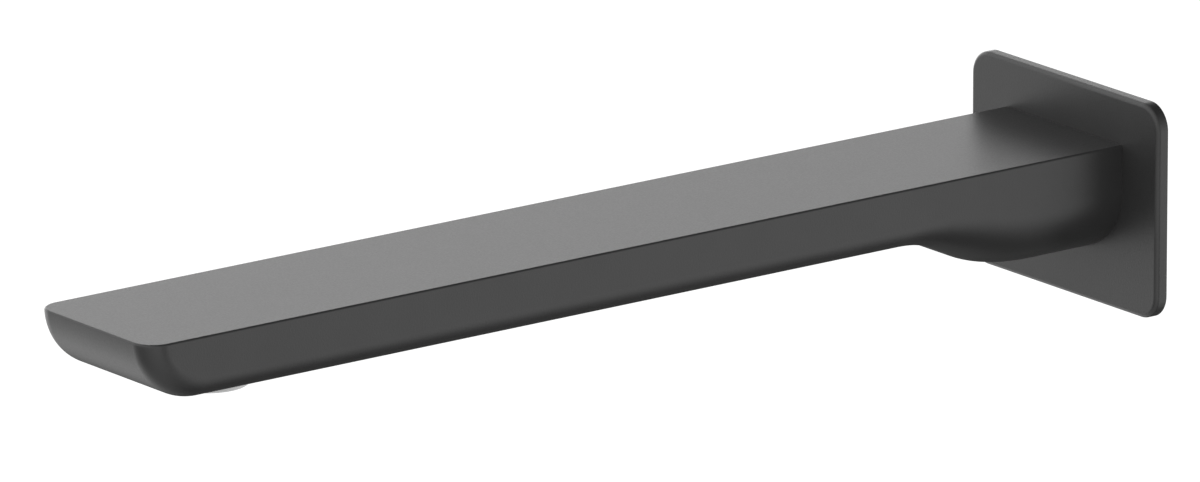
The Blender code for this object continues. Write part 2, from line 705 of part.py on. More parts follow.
def build_screen(material):
    """Domed strainer: a cap of small openings on a plain rim."""
    bm = bmesh.new()
    rise = SCREEN_HEIGHT - SCREEN_RIM_HEIGHT - SCREEN_THICKNESS
    radius = INSERT_RADIUS - SCREEN_THICKNESS
    rings = []
    for height in (0, SCREEN_RIM_HEIGHT):
        rings.append((radius, SCREEN_BOTTOM + height))
    for step in range(1, SCREEN_STEPS_UP + 1):
        angle = SCREEN_DOME_ANGLE * step / SCREEN_STEPS_UP
        rings.append((radius * cos(angle), SCREEN_BOTTOM + SCREEN_RIM_HEIGHT + rise * sin(angle)))
    loops = []
    for ring_radius, z in rings:
        loop = []
        for step in range(SCREEN_STEPS_ROUND):
            angle = 2 * pi * step / SCREEN_STEPS_ROUND
            loop.append(bm.verts.new((ring_radius * cos(angle), ring_radius * sin(angle), z)))
        loops.append(loop)
    openings = []
    for level, (first, second) in enumerate(zip(loops, loops[1:])):
        for step in range(SCREEN_STEPS_ROUND):
            after = (step + 1) % SCREEN_STEPS_ROUND
            face = bm.faces.new((first[step], first[after], second[after], second[step]))
            if level > 0:
                openings.append(face)
    bm.faces.new(loops[-1])
    bmesh.ops.recalc_face_normals(bm, faces=bm.faces[:])
    bmesh.ops.inset_individual(bm, faces=openings, thickness=SCREEN_THICKNESS / 2)
    bmesh.ops.delete(bm, geom=openings, context="FACES")
    screen = add_object("aerator_screen", bm, material)
    screen.location = (0, OUTLET_Y, 0)
    thicken = screen.modifiers.new("sheet", "SOLIDIFY")
    thicken.thickness = SCREEN_THICKNESS
    thicken.offset = 1
    return screen


def build_aerator_seal(material):
    """Flat rubber washer between the shell and its seat."""
    low = WASHER_TOP - WASHER_THICKNESS
    inner = SEAT_OPENING_RADIUS + AERATOR_FIT
    outer = AERATOR_THREAD_RADIUS - AERATOR_FIT
    profile = [
        (inner, low),
        (inner, WASHER_TOP),
        (outer - WASHER_EDGE, WASHER_TOP),
        (outer, WASHER_TOP - WASHER_EDGE),
        (outer, low + WASHER_EDGE),
        (outer - WASHER_EDGE, low),
    ]
    washer = add_object("aerator_seal", turned(profile, "Z", steps=RING_STEPS), material)
    washer.location = (0, OUTLET_Y, 0)
    return washer


def main():
    clear_scene()
    black = surface("matte_black_coating", (0.022, 0.022, 0.023), 0.55)
    plate_black = surface("matte_black_plate", (0.022, 0.022, 0.023), 0.55)
    foam = surface("black_foam", (0.012, 0.012, 0.012), 0.95)
    brass = surface("machined_brass", (0.68, 0.52, 0.24), 0.32, 1.0)
    rubber = surface("black_rubber", (0.02, 0.02, 0.02), 0.75)
    steel = surface("screw_steel", (0.55, 0.55, 0.56), 0.35, 1.0)
    pale_plastic = surface("pale_grey_plastic", (0.62, 0.62, 0.61), 0.4)
    white_plastic = surface("white_plastic", (0.78, 0.78, 0.76), 0.45)

    pieces = [
        build_spout_body(black),
        build_wall_plate(plate_black),
        build_plate_seal(foam),
        build_inlet_nipple(brass),
        build_o_ring("nipple_o_ring_front", RING_FRONT_Y, rubber),
        build_o_ring("nipple_o_ring_rear", RING_REAR_Y, rubber),
        build_grub_screw(steel),
        build_aerator_shell(pale_plastic),
        build_honeycomb(white_plastic),
        build_jet_plate(white_plastic),
        build_screen(white_plastic),
        build_aerator_seal(rubber),
    ]
    spout = bpy.data.objects.new("bath_spout", None)
    bpy.context.scene.collection.objects.link(spout)
    for piece in pieces:
        piece.parent = spout


main()
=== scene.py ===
# Bath spout: the finished look of every piece, with floor, light and camera.
# Metres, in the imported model's frame: wall plane y = 0, the spout runs towards -Y, +Z up.

from math import cos, pi, radians, sin, tan

import bmesh
import bpy
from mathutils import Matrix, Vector


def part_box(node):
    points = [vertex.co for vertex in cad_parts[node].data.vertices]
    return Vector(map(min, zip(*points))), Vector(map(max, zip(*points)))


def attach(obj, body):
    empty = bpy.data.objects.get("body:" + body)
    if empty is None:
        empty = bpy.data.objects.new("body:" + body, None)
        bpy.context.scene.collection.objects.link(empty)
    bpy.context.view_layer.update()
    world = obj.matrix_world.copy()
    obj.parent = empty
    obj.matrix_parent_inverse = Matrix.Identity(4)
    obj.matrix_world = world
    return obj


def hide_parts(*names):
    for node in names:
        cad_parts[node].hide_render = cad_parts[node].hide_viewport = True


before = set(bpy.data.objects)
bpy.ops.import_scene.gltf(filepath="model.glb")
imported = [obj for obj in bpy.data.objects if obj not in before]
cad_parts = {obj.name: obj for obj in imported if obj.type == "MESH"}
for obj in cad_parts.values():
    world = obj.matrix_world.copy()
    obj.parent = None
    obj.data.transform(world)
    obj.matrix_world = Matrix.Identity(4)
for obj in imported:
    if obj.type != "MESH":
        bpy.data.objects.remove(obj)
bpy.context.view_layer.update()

# The outside sizes come from the nodes that the finer pieces replace
plate_low, plate_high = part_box("wall_plate")
seal_low, seal_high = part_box("plate_seal")
body_low, body_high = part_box("spout_body")
nipple_low, nipple_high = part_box("inlet_nipple")
ring_boxes = (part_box("nipple_o_ring_front"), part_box("nipple_o_ring_rear"))
screw_low, screw_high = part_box("grub_screw")
shell_low, shell_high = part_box("aerator_shell")

# Wall plate, with the groove for the seal in its back
PLATE_WIDTH = plate_high.x - plate_low.x
PLATE_HEIGHT = plate_high.z - plate_low.z
PLATE_FRONT = -plate_low.y
PLATE_CORNER_RADIUS = 0.00536
PLATE_FRONT_ROUND = 0.00095
PLATE_BACK_ROUND = 0.00008
SEAL_WIDTH = 0.0045
SEAL_CLEARANCE = 0.0003
SEAL_LEAST_RADIUS = 0.0012
SEAL_MARGIN = plate_high.x - seal_high.x
SEAL_GROOVE_OUTER = SEAL_MARGIN - SEAL_CLEARANCE
SEAL_GROOVE_INNER = SEAL_MARGIN + SEAL_WIDTH + SEAL_CLEARANCE
SEAL_GROOVE_DEPTH = SEAL_CLEARANCE - seal_low.y

# Spout body
REACH = 0.2500
BAR_THICKNESS = 0.01315
EDGE_RADIUS = 0.0050
TOP_EDGE_ROUND = 0.00045
NOSE_RUN = 0.01424
NOSE_RISE_OVER_BAR = 0.0005
DROP_START = 0.0602
DROP_ANGLE = radians(24.85)
DROP_HOLLOW_RADIUS = 0.0299
DROP_BELLY_RADIUS = 0.0427
BELLY_CORNER_RISE = 0.01465
BELLY_FLAT_SHARE = 0.03
BELLY_BLEND_POWER = 0.81
HALF_WIDTH = body_high.x
TOP_HEIGHT = body_high.z
BAR_BOTTOM = TOP_HEIGHT - BAR_THICKNESS
BELLY_BOTTOM = body_low.z
BODY_REAR = -PLATE_FRONT
NOSE_RISE = BAR_THICKNESS + NOSE_RISE_OVER_BAR
CORNER_STEPS = 28
NOSE_STEPS = 44
TOP_ROUND_STEPS = 6

# Grub screw
SCREW_Y = (screw_low.y + screw_high.y) / 2
SCREW_LOW = screw_low.z
SCREW_RADIUS = screw_high.x
SCREW_PITCH = 0.0008
SCREW_THREAD_DEPTH = 0.0004
SCREW_EDGE = 0.0003
SCREW_POINT_LENGTH = 0.0013
SCREW_POINT_TIP = screw_high.z
SCREW_POINT_BASE = SCREW_POINT_TIP - SCREW_POINT_LENGTH
SCREW_POINT_RADIUS = 0.0012
SCREW_KEY_FLATS = 0.0025
SCREW_KEY_DEPTH = 0.0018

# Inlet nipple with its half-inch pipe thread
THREAD_RADIUS = nipple_high.x
THREAD_DEPTH = 0.00116
THREAD_PITCH = 0.001814
THREAD_START = 0.0010
THREAD_END = nipple_high.y
THREAD_FADE = 0.0013
RELIEF_RADIUS = 0.0076
RELIEF_HIGH = 0.0003
RELIEF_LOW = -0.0009
SPIGOT_RADIUS = 0.0084
SPIGOT_HIGH = -0.0018
SPIGOT_END = nipple_low.y
SPIGOT_CHAMFER = 0.0007
NIPPLE_BORE_RADIUS = 0.0047
HEX_KEY_FLATS = 0.0100
HEX_KEY_DEPTH = 0.0080
SCREW_GROOVE_DEPTH = 0.0012
SCREW_GROOVE_CLEARANCE = 0.0003
SCREW_GROOVE_RADIUS = SPIGOT_RADIUS - SCREW_GROOVE_DEPTH
SCREW_GROOVE_HALF = SCREW_POINT_RADIUS + SCREW_GROOVE_CLEARANCE

# O-rings and their grooves in the nipple
RING_PLACES = [(low.y + high.y) / 2 for low, high in ring_boxes]
RING_SECTION_RADIUS = (ring_boxes[0][1].y - ring_boxes[0][0].y) / 2
RING_RADIUS = ring_boxes[0][1].x - RING_SECTION_RADIUS
RING_GROOVE_HALF = 0.00095
RING_GROOVE_CLEARANCE = 0.00006
RING_GROOVE_RADIUS = RING_RADIUS - RING_SECTION_RADIUS - RING_GROOVE_CLEARANCE

# Aerator shell
OUTLET_Y = (shell_low.y + shell_high.y) / 2
SHELL_TOP = shell_high.z
SHELL_BOTTOM = shell_low.z
SHELL_THREAD_RADIUS = shell_high.x
SHELL_THREAD_DEPTH = 0.00045
SHELL_THREAD_PITCH = 0.0010
SHELL_THREAD_FADE = 0.0004
SHELL_NECK = -0.00015
SHELL_LIP_RADIUS = 0.0085
SHELL_LIP_ROUND = 0.0004
SHELL_WALL = 0.0011
SHELL_RIM_WIDTH = 0.0006
SHELL_RIM_HEIGHT = 0.0005
SHELL_BORE_RADIUS = SHELL_LIP_RADIUS - SHELL_WALL
SHELL_RIM_RADIUS = SHELL_BORE_RADIUS - SHELL_RIM_WIDTH

# Openings in the plate and the body, from what fits in them or from the wall they leave
PLATE_HOLE_RADIUS = THREAD_RADIUS + 0.0004
SOCKET_RADIUS = SPIGOT_RADIUS + 0.0002
SOCKET_END = SPIGOT_END - 0.0010
SCREW_HOLE_RADIUS = SCREW_RADIUS + 0.0002
WATERWAY_HALF_WIDTH = HALF_WIDTH - 0.0071
WATERWAY_FLOOR = BAR_BOTTOM + 0.0027
WATERWAY_ROOF = TOP_HEIGHT - 0.0023
WATERWAY_RAMP = 0.0160
CHANNEL_FLOOR = WATERWAY_ROOF - 0.0023
CHANNEL_RAMP = 0.0360
CHANNEL_LEAD = 0.0157
CHANNEL_END_ANGLE = radians(82)
SEAT_LEDGE = 0.0011
SEAT_TOP = CHANNEL_FLOOR - SEAT_LEDGE
SEAT_RADIUS = SHELL_THREAD_RADIUS + 0.0002
SEAT_OPENING_RADIUS = SHELL_THREAD_RADIUS - 0.0019
THROAT_RADIUS = SOCKET_RADIUS - SEAT_LEDGE
CUTTER_OVERLAP = 0.001

# Camera, fitted to the photograph's edges
CAMERA_AZIMUTH = radians(52.551)
CAMERA_ELEVATION = radians(15.757)
CAMERA_DISTANCE = 3.56264
CAMERA_AIM = (-0.05684, -0.07962, -0.01168)
CAMERA_LENS = 517.96
CAMERA_SENSOR = 36.0

FLOOR_HEIGHT = -0.75
FLOOR_HALF_WIDTH = 6.0
BACKDROP_RADIUS = 9.0
SMOOTH_ANGLE = radians(32)

# Steps round a full turn
HOLE_STEPS = 96
TURNED_STEPS = 72
SCREW_STEPS = 48

# Studio light: an even glow, then soft round lamps (positive) and dark flags (negative).
# Each is (azimuth from +X towards +Y, elevation, half width, strength), angles in degrees.
EVEN_GLOW = 0.5
SOFT_LIGHTS = {
    "wide front lamp": (260, 30, 65, 1.30),
    "side lamp": (65, -20, 25, 1.70),
    "far lamp": (170, 0, 25, 1.30),
    "lamp for the flat top": (150, 5, 10, 1.60),
    "low far lamp": (200, -45, 15, 0.60),
    "flag for the top edges": (55, 55, 40, -1.00),
    "flag above the far lamp": (135, 45, 25, -0.60),
    "flag for the nose": (260, -30, 30, -0.70),
    "flag for the plate": (250, -15, 25, -0.50),
    "flag below the far lamp": (150, -25, 15, -1.00),
    "wide low flag": (110, -50, 25, -0.80),
    "low flag": (70, -55, 15, -0.70),
    "flag for the lower edge": (35, -45, 15, -0.70),
    "flag for the nose corner": (15, -15, 8, -0.90),
    "lamp for the nose corner": (345, -15, 10, 0.60),
}


def add_object(name, bm, material, smooth=True):
    """Makes an object of a bmesh, with outward faces, smooth but for its sharp edges."""
    bmesh.ops.recalc_face_normals(bm, faces=bm.faces[:])
    for face in bm.faces:
        face.smooth = smooth
    mesh = bpy.data.meshes.new(name)
    bm.to_mesh(mesh)
    bm.free()
    obj = bpy.data.objects.new(name, mesh)
    bpy.context.scene.collection.objects.link(obj)
    if material:
        mesh.materials.append(material)
    return obj


def bridge_rings(bm, rings, closed=False):
    """Joins point rings of equal length in order, and caps the ends unless the last meets the first."""
    loops = [[bm.verts.new(point) for point in ring] for ring in rings]
    pairs = list(zip(loops, loops[1:]))
    if closed:
        pairs.append((loops[-1], loops[0]))
    else:
        bm.faces.new(loops[0])
        bm.faces.new(loops[-1])
    for first, second in pairs:
        for step in range(len(first)):
            after = (step + 1) % len(first)
            bm.faces.new((first[step], first[after], second[after], second[step]))


def prism(bm, sides, radius, centre, axis, low, high, turn=0.0):
    """Adds a closed prism from low to high along the Y or the Z axis."""
    rings = []
    for height in (low, high):
        ring = []
        for step in range(sides):
            angle = turn + 2 * pi * step / sides
            if axis == "Y":
                point = Vector((radius * cos(angle), height, radius * sin(angle)))
            else:
                point = Vector((radius * cos(angle), radius * sin(angle), height))
            ring.append(point + Vector(centre))
        rings.append(ring)
    bridge_rings(bm, rings)


def carve(obj, cutters):
    """Cuts the bmeshes out of obj, keeps the result as its mesh, and marks its sharp edges."""
    helpers = []
    for index, bm in enumerate(cutters):
        helper = add_object(f"{obj.name}_cutter_{index}", bm, None, smooth=True)
        modifier = obj.modifiers.new(helper.name, "BOOLEAN")
        modifier.operation = "DIFFERENCE"
        modifier.solver = "EXACT"
        modifier.object = helper
        helpers.append(helper)
    graph = bpy.context.evaluated_depsgraph_get()
    mesh = bpy.data.meshes.new_from_object(obj.evaluated_get(graph))
    obj.modifiers.clear()
    obj.data = mesh
    for helper in helpers:
        bpy.data.objects.remove(helper, do_unlink=True)
    for polygon in mesh.polygons:
        polygon.use_smooth = True
    mesh.set_sharp_from_angle(angle=SMOOTH_ANGLE)
    even = obj.modifiers.new("even_normals", "WEIGHTED_NORMAL")
    even.keep_sharp = True


def revolve(stations, axis, steps, centre=(0, 0, 0), closed=True):
    """Rings of points turned about an axis. A station is (radius or function of the angle, height)."""
    rings = []
    for radius, height in stations:
        ring = []
        for step in range(steps):
            angle = 2 * pi * step / steps
            reach = radius(angle) if callable(radius) else radius
            if axis == "Y":
                point = Vector((reach * cos(angle), height, reach * sin(angle)))
            else:
                point = Vector((reach * cos(angle), reach * sin(angle), height))
            ring.append(point + Vector(centre))
        rings.append(ring)
    bm = bmesh.new()
    bridge_rings(bm, rings, closed=closed)
    return bm


def thread_stations(radius, depth, pitch, low, high, fade_length, steps_per_turn=10):
    """Stations along a screw thread with flanks, flat crests and ends that fade out."""
    count = round((high - low) / pitch * steps_per_turn)
    stations = []
    for step in range(count + 1):
        height = low + (high - low) * step / count
        fade = min(height - low, high - height) / fade_length
        limit = radius - depth * max(0.0, 1.0 - fade)

        def reach(angle, height=height, limit=limit):
            phase = (height / pitch + angle / (2 * pi)) % 1.0
            ridge = min(max(abs(phase * 2 - 1) * 1.5 - 0.25, 0.0), 1.0)
            return min(radius - depth * (1 - ridge), limit)

        stations.append((reach, height))
    return stations


def rounded_rectangle(width, height, radius, steps=24):
    """Outline points with their outward normals, counterclockwise in the XZ plane."""
    outline = []
    centres = (
        (width / 2 - radius, height / 2 - radius),
        (radius - width / 2, height / 2 - radius),
        (radius - width / 2, radius - height / 2),
        (width / 2 - radius, radius - height / 2),
    )
    for corner, (x, z) in enumerate(centres):
        for step in range(steps + 1):
            angle = (corner + step / steps) * pi / 2
            normal = Vector((cos(angle), 0, sin(angle)))
            outline.append((Vector((x, 0, z)) + normal * radius, normal))
    return outline


def plate_ring(inset, y):
    outline = rounded_rectangle(PLATE_WIDTH, PLATE_HEIGHT, PLATE_CORNER_RADIUS)
    return [point - normal * inset + Vector((0, y, 0)) for point, normal in outline]


def groove_ring(margin, y):
    radius = max(PLATE_CORNER_RADIUS - margin, SEAL_LEAST_RADIUS)
    outline = rounded_rectangle(PLATE_WIDTH - 2 * margin, PLATE_HEIGHT - 2 * margin, radius)
    return [point + Vector((0, y, 0)) for point, _ in outline]


def build_plate(material):
    """The cover plate, with its front edge rounded and its back edge just broken."""
    bm = bmesh.new()
    rings = []
    for step in range(4):
        angle = pi / 2 * step / 3
        inset = PLATE_BACK_ROUND * (1 - sin(angle))
        rings.append(plate_ring(inset, -PLATE_BACK_ROUND * (1 - cos(angle))))
    for step in range(11):
        angle = pi / 2 * step / 10
        inset = PLATE_FRONT_ROUND * (1 - cos(angle))
        rings.append(plate_ring(inset, PLATE_FRONT_ROUND * (1 - sin(angle)) - PLATE_FRONT))
    bridge_rings(bm, rings)
    plate = add_object("cover_plate", bm, material)

    hole = bmesh.new()
    prism(hole, HOLE_STEPS, PLATE_HOLE_RADIUS, (0, 0, 0), "Y", -2 * PLATE_FRONT, PLATE_FRONT)
    groove = bmesh.new()
    rings = [
        groove_ring(SEAL_GROOVE_OUTER, PLATE_FRONT),
        groove_ring(SEAL_GROOVE_OUTER, -SEAL_GROOVE_DEPTH),
        groove_ring(SEAL_GROOVE_INNER, -SEAL_GROOVE_DEPTH),
        groove_ring(SEAL_GROOVE_INNER, PLATE_FRONT),
    ]
    bridge_rings(groove, rings, closed=True)
    bmesh.ops.recalc_face_normals(groove, faces=groove.faces[:])
    carve(plate, [hole, groove])
    return plate


def underside_stations():
    """(y, z) along the underside from the end of the nose to the wall plate."""
    start = NOSE_RUN - REACH
    drop = -DROP_START
    stations = [(start + (drop - start) * step / 12, BAR_BOTTOM) for step in range(1, 12)]
    for step in range(19):
        angle = DROP_ANGLE * step / 18
        y = drop + DROP_HOLLOW_RADIUS * sin(angle)
        stations.append((y, BAR_BOTTOM - DROP_HOLLOW_RADIUS * (1 - cos(angle))))
    hollow_end_y, hollow_end_z = stations[-1]
    belly_start_z = BELLY_BOTTOM + DROP_BELLY_RADIUS * (1 - cos(DROP_ANGLE))
    belly_start_y = hollow_end_y + (hollow_end_z - belly_start_z) / tan(DROP_ANGLE)
    for share in (0.33, 0.67):
        y = hollow_end_y + (belly_start_y - hollow_end_y) * share
        stations.append((y, hollow_end_z + (belly_start_z - hollow_end_z) * share))
    belly_end_y = belly_start_y + DROP_BELLY_RADIUS * sin(DROP_ANGLE)
    for step in range(25):
        angle = DROP_ANGLE * (1 - step / 24)
        y = belly_end_y - DROP_BELLY_RADIUS * sin(angle)
        stations.append((y, BELLY_BOTTOM + DROP_BELLY_RADIUS * (1 - cos(angle))))
    for step in range(1, 4):
        stations.append((belly_end_y + (BODY_REAR - belly_end_y) * step / 3, BELLY_BOTTOM))
    return stations


def nose_point(angle, across):
    """A point of the nose: angle runs down the quarter ellipse, across runs round the corner."""
    normal = Vector((0, -cos(angle) / NOSE_RUN, -sin(angle) / NOSE_RISE)).normalized()
    y = NOSE_RUN * (1 - cos(angle)) - REACH
    point = Vector((0, y, BAR_BOTTOM + NOSE_RISE * (1 - sin(angle))))
    point -= normal * EDGE_RADIUS * (1 - sin(across))
    point.x = HALF_WIDTH - EDGE_RADIUS * (1 - cos(across))
    return point


def nose_start_angle(across):
    """The angle at which a nose line leaves the top edge's rounding, found by bisection."""
    low, high = 0.0, pi / 4
    for _ in range(40):
        middle = (low + high) / 2
        if nose_point(middle, across).z > TOP_HEIGHT - TOP_EDGE_ROUND:
            low = middle
        else:
            high = middle
    return (low + high) / 2


def body_rows():
    """Rows of points down one side of the body, from the side face to the middle of the underside."""
    turns = [pi / 2 * step / CORNER_STEPS for step in range(CORNER_STEPS + 1)]
    starts = [nose_start_angle(across) for across in turns]
    rows = []
    for step in range(NOSE_STEPS + 1):
        share = step / NOSE_STEPS
        pairs = zip(starts, turns)
        rows.append([nose_point(begin + (pi / 2 - begin) * share, across) for begin, across in pairs])
    for y, z in underside_stations():
        share = ((BAR_BOTTOM - z) / (BAR_BOTTOM - BELLY_BOTTOM)) ** BELLY_BLEND_POWER
        corner_run = HALF_WIDTH * (1 - BELLY_FLAT_SHARE)
        run = EDGE_RADIUS + (corner_run - EDGE_RADIUS) * share
        rise = EDGE_RADIUS + (BELLY_CORNER_RISE - EDGE_RADIUS) * share
        row = []
        for across in turns:
            x = HALF_WIDTH - run * (1 - cos(across))
            row.append(Vector((x, y, z + rise * (1 - sin(across)))))
        rows.append(row)
    return rows


def mirrored(point):
    return Vector((-point.x, point.y, point.z))


def body_skin():
    """The outside of the body as one closed mesh."""
    bm = bmesh.new()
    rows = []
    for row in body_rows():
        left = [mirrored(point) for point in row]
        rows.append([bm.verts.new(point) for point in row + left[::-1]])
    for first, second in zip(rows, rows[1:]):
        for step in range(len(first) - 1):
            bm.faces.new((first[step], first[step + 1], second[step + 1], second[step]))

    edge_height = TOP_HEIGHT - TOP_EDGE_ROUND
    sides = []
    for side in (0, -1):
        line = [rows[0][side]]
        for row in rows[1:]:
            line.append(bm.verts.new((row[side].co.x, row[side].co.y, edge_height)))
        bm.faces.new((rows[0][side], rows[1][side], line[1]))
        for step in range(1, len(rows) - 1):
            bm.faces.new((rows[step][side], rows[step + 1][side], line[step + 1], line[step]))
        sides.append(line)

    turns = [pi / 2 * step / CORNER_STEPS for step in range(CORNER_STEPS + 1)]
    right = [Vector((cos(turn), -sin(turn), 0)) for turn in turns]
    side = [Vector((1, 0, 0))] * (len(rows) - 1)
    half = side + right
    normals = half + [mirrored(normal) for normal in half[::-1]]
    rim = sides[0][:0:-1] + rows[0] + sides[1][1:]
    rings = [rim]
    for step in range(1, TOP_ROUND_STEPS + 1):
        angle = pi / 2 * step / TOP_ROUND_STEPS
        inset = TOP_EDGE_ROUND * (1 - cos(angle))
        rise = Vector((0, 0, TOP_EDGE_ROUND * sin(angle)))
        pairs = zip(rim, normals)
        rings.append([bm.verts.new(vert.co - normal * inset + rise) for vert, normal in pairs])
    for lower, upper in zip(rings, rings[1:]):
        for index in range(len(rim) - 1):
            bm.faces.new((lower[index], lower[index + 1], upper[index + 1], upper[index]))
    bm.faces.new(rings[-1])
    bm.faces.new(rows[-1] + [ring[-1] for ring in rings] + [ring[0] for ring in rings[::-1]])
    return bm


def blended(low, high, share):
    share = min(max(share, 0.0), 1.0)
    return low + (high - low) * share * share * (3 - 2 * share)


def waterway_ring(y, half_width, low, high, squareness=5, steps=64):
    """A rounded opening across the waterway. Squareness 2 gives an ellipse."""
    ring = []
    for step in range(steps):
        angle = 2 * pi * (step + 0.5) / steps
        across = abs(cos(angle)) ** (2 / squareness)
        up = abs(sin(angle)) ** (2 / squareness)
        x = half_width * (across if cos(angle) > 0 else -across)
        z = (high - low) / 2 * (up if sin(angle) > 0 else -up)
        ring.append(Vector((x, y, (low + high) / 2 + z)))
    return ring


def waterway():
    """The cored passage from the socket, up over the drop and along the bar to the outlet."""
    start = SOCKET_END + CUTTER_OVERLAP
    rings = [waterway_ring(start, THROAT_RADIUS, -THROAT_RADIUS, THROAT_RADIUS, 2)]
    for step in range(17):
        share = step / 16
        low = blended(-THROAT_RADIUS, WATERWAY_FLOOR, share)
        high = blended(THROAT_RADIUS, WATERWAY_ROOF, share)
        half_width = blended(THROAT_RADIUS, WATERWAY_HALF_WIDTH, share)
        y = SOCKET_END - CUTTER_OVERLAP - WATERWAY_RAMP * share
        rings.append(waterway_ring(y, half_width, low, high, blended(2, 5, share)))
    for step in range(17):
        share = step / 16
        floor = blended(WATERWAY_FLOOR, CHANNEL_FLOOR, share)
        y = OUTLET_Y + CHANNEL_LEAD + CHANNEL_RAMP * (1 - share)
        rings.append(waterway_ring(y, WATERWAY_HALF_WIDTH, floor, WATERWAY_ROOF))
    for step in range(1, 12):
        angle = CHANNEL_END_ANGLE * step / 11
        y = OUTLET_Y - WATERWAY_HALF_WIDTH * sin(angle)
        half_width = WATERWAY_HALF_WIDTH * cos(angle)
        rings.append(waterway_ring(y, half_width, CHANNEL_FLOOR, WATERWAY_ROOF))
    bm = bmesh.new()
    bridge_rings(bm, rings)
    return bm


def build_body(material):
    """The casting: skin, waterway, socket, aerator seat with its countersink, and screw hole."""
    body = add_object("cast_body", body_skin(), material)
    socket = bmesh.new()
    prism(socket, HOLE_STEPS, SOCKET_RADIUS, (0, 0, 0), "Y", SOCKET_END, PLATE_FRONT)
    seat = bmesh.new()
    outlet = (0, OUTLET_Y, 0)
    prism(seat, HOLE_STEPS, SEAT_RADIUS, outlet, "Z", BAR_BOTTOM - BAR_THICKNESS, SEAT_TOP)
    opening = bmesh.new()
    low = SEAT_TOP - CUTTER_OVERLAP
    high = CHANNEL_FLOOR + CUTTER_OVERLAP
    prism(opening, HOLE_STEPS, SEAT_OPENING_RADIUS, outlet, "Z", low, high)
    screw_hole = bmesh.new()
    screw = (0, SCREW_Y, 0)
    prism(screw_hole, SCREW_STEPS, SCREW_HOLE_RADIUS, screw, "Z", 2 * BELLY_BOTTOM, -SOCKET_RADIUS / 2)
    carve(body, [waterway(), socket, seat, opening, screw_hole])
    return body


def build_nipple(material):
    """Turned nipple: pipe thread for the wall, then the grooved spigot with a hexagon for a key."""
    stations = [(NIPPLE_BORE_RADIUS, SPIGOT_END), (NIPPLE_BORE_RADIUS, THREAD_END)]
    size = (THREAD_RADIUS, THREAD_DEPTH, THREAD_PITCH)
    thread = thread_stations(*size, THREAD_START, THREAD_END, THREAD_FADE)
    stations += thread[::-1]
    screw_low = SCREW_Y - SCREW_GROOVE_HALF
    screw_high = SCREW_Y + SCREW_GROOVE_HALF
    stations += [
        (RELIEF_RADIUS, RELIEF_HIGH),
        (RELIEF_RADIUS, RELIEF_LOW),
        (SPIGOT_RADIUS, SPIGOT_HIGH),
        (SPIGOT_RADIUS, screw_high),
        (SCREW_GROOVE_RADIUS, screw_high),
        (SCREW_GROOVE_RADIUS, screw_low),
        (SPIGOT_RADIUS, screw_low),
    ]
    for place in sorted(RING_PLACES, reverse=True):
        stations += [
            (SPIGOT_RADIUS, place + RING_GROOVE_HALF),
            (RING_GROOVE_RADIUS, place + RING_GROOVE_HALF),
            (RING_GROOVE_RADIUS, place - RING_GROOVE_HALF),
            (SPIGOT_RADIUS, place - RING_GROOVE_HALF),
        ]
    stations.append((SPIGOT_RADIUS, SPIGOT_END + SPIGOT_CHAMFER))
    stations.append((SPIGOT_RADIUS - SPIGOT_CHAMFER, SPIGOT_END))
    nipple = add_object("threaded_nipple", revolve(stations, "Y", TURNED_STEPS), material)
    key = bmesh.new()
    corner = HEX_KEY_FLATS / 2 / cos(pi / 6)
    prism(key, 6, corner, (0, 0, 0), "Y", 2 * SPIGOT_END, SPIGOT_END + HEX_KEY_DEPTH)
    carve(nipple, [key])
    return nipple


def build_o_ring(name, place, material):
    section = []
    for step in range(24):
        angle = 2 * pi * step / 24
        radius = RING_RADIUS + RING_SECTION_RADIUS * cos(angle)
        section.append((radius, place + RING_SECTION_RADIUS * sin(angle)))
    return add_object(name, revolve(section, "Y", TURNED_STEPS), material)


def build_screw(material):
    """Socket grub screw with a fine thread and a plain point."""
    centre = (0, SCREW_Y, 0)
    low = SCREW_LOW + SCREW_EDGE / 3
    high = SCREW_POINT_BASE - SCREW_EDGE / 3
    stations = [(SCREW_RADIUS - SCREW_THREAD_DEPTH, SCREW_LOW)]
    stations += thread_stations(SCREW_RADIUS, SCREW_THREAD_DEPTH, SCREW_PITCH, low, high, SCREW_EDGE)
    stations += [
        (SCREW_RADIUS - SCREW_THREAD_DEPTH, SCREW_POINT_BASE),
        (SCREW_POINT_RADIUS, SCREW_POINT_BASE),
        (SCREW_POINT_RADIUS, SCREW_POINT_TIP - SCREW_EDGE / 2),
        (SCREW_POINT_RADIUS - SCREW_EDGE / 2, SCREW_POINT_TIP),
    ]
    turned = revolve(stations, "Z", SCREW_STEPS, centre, closed=False)
    screw = add_object("socket_screw", turned, material)
    key = bmesh.new()
    corner = SCREW_KEY_FLATS / 2 / cos(pi / 6)
    prism(key, 6, corner, centre, "Z", SCREW_LOW - SCREW_KEY_DEPTH, SCREW_LOW + SCREW_KEY_DEPTH)
    carve(screw, [key])
    return screw


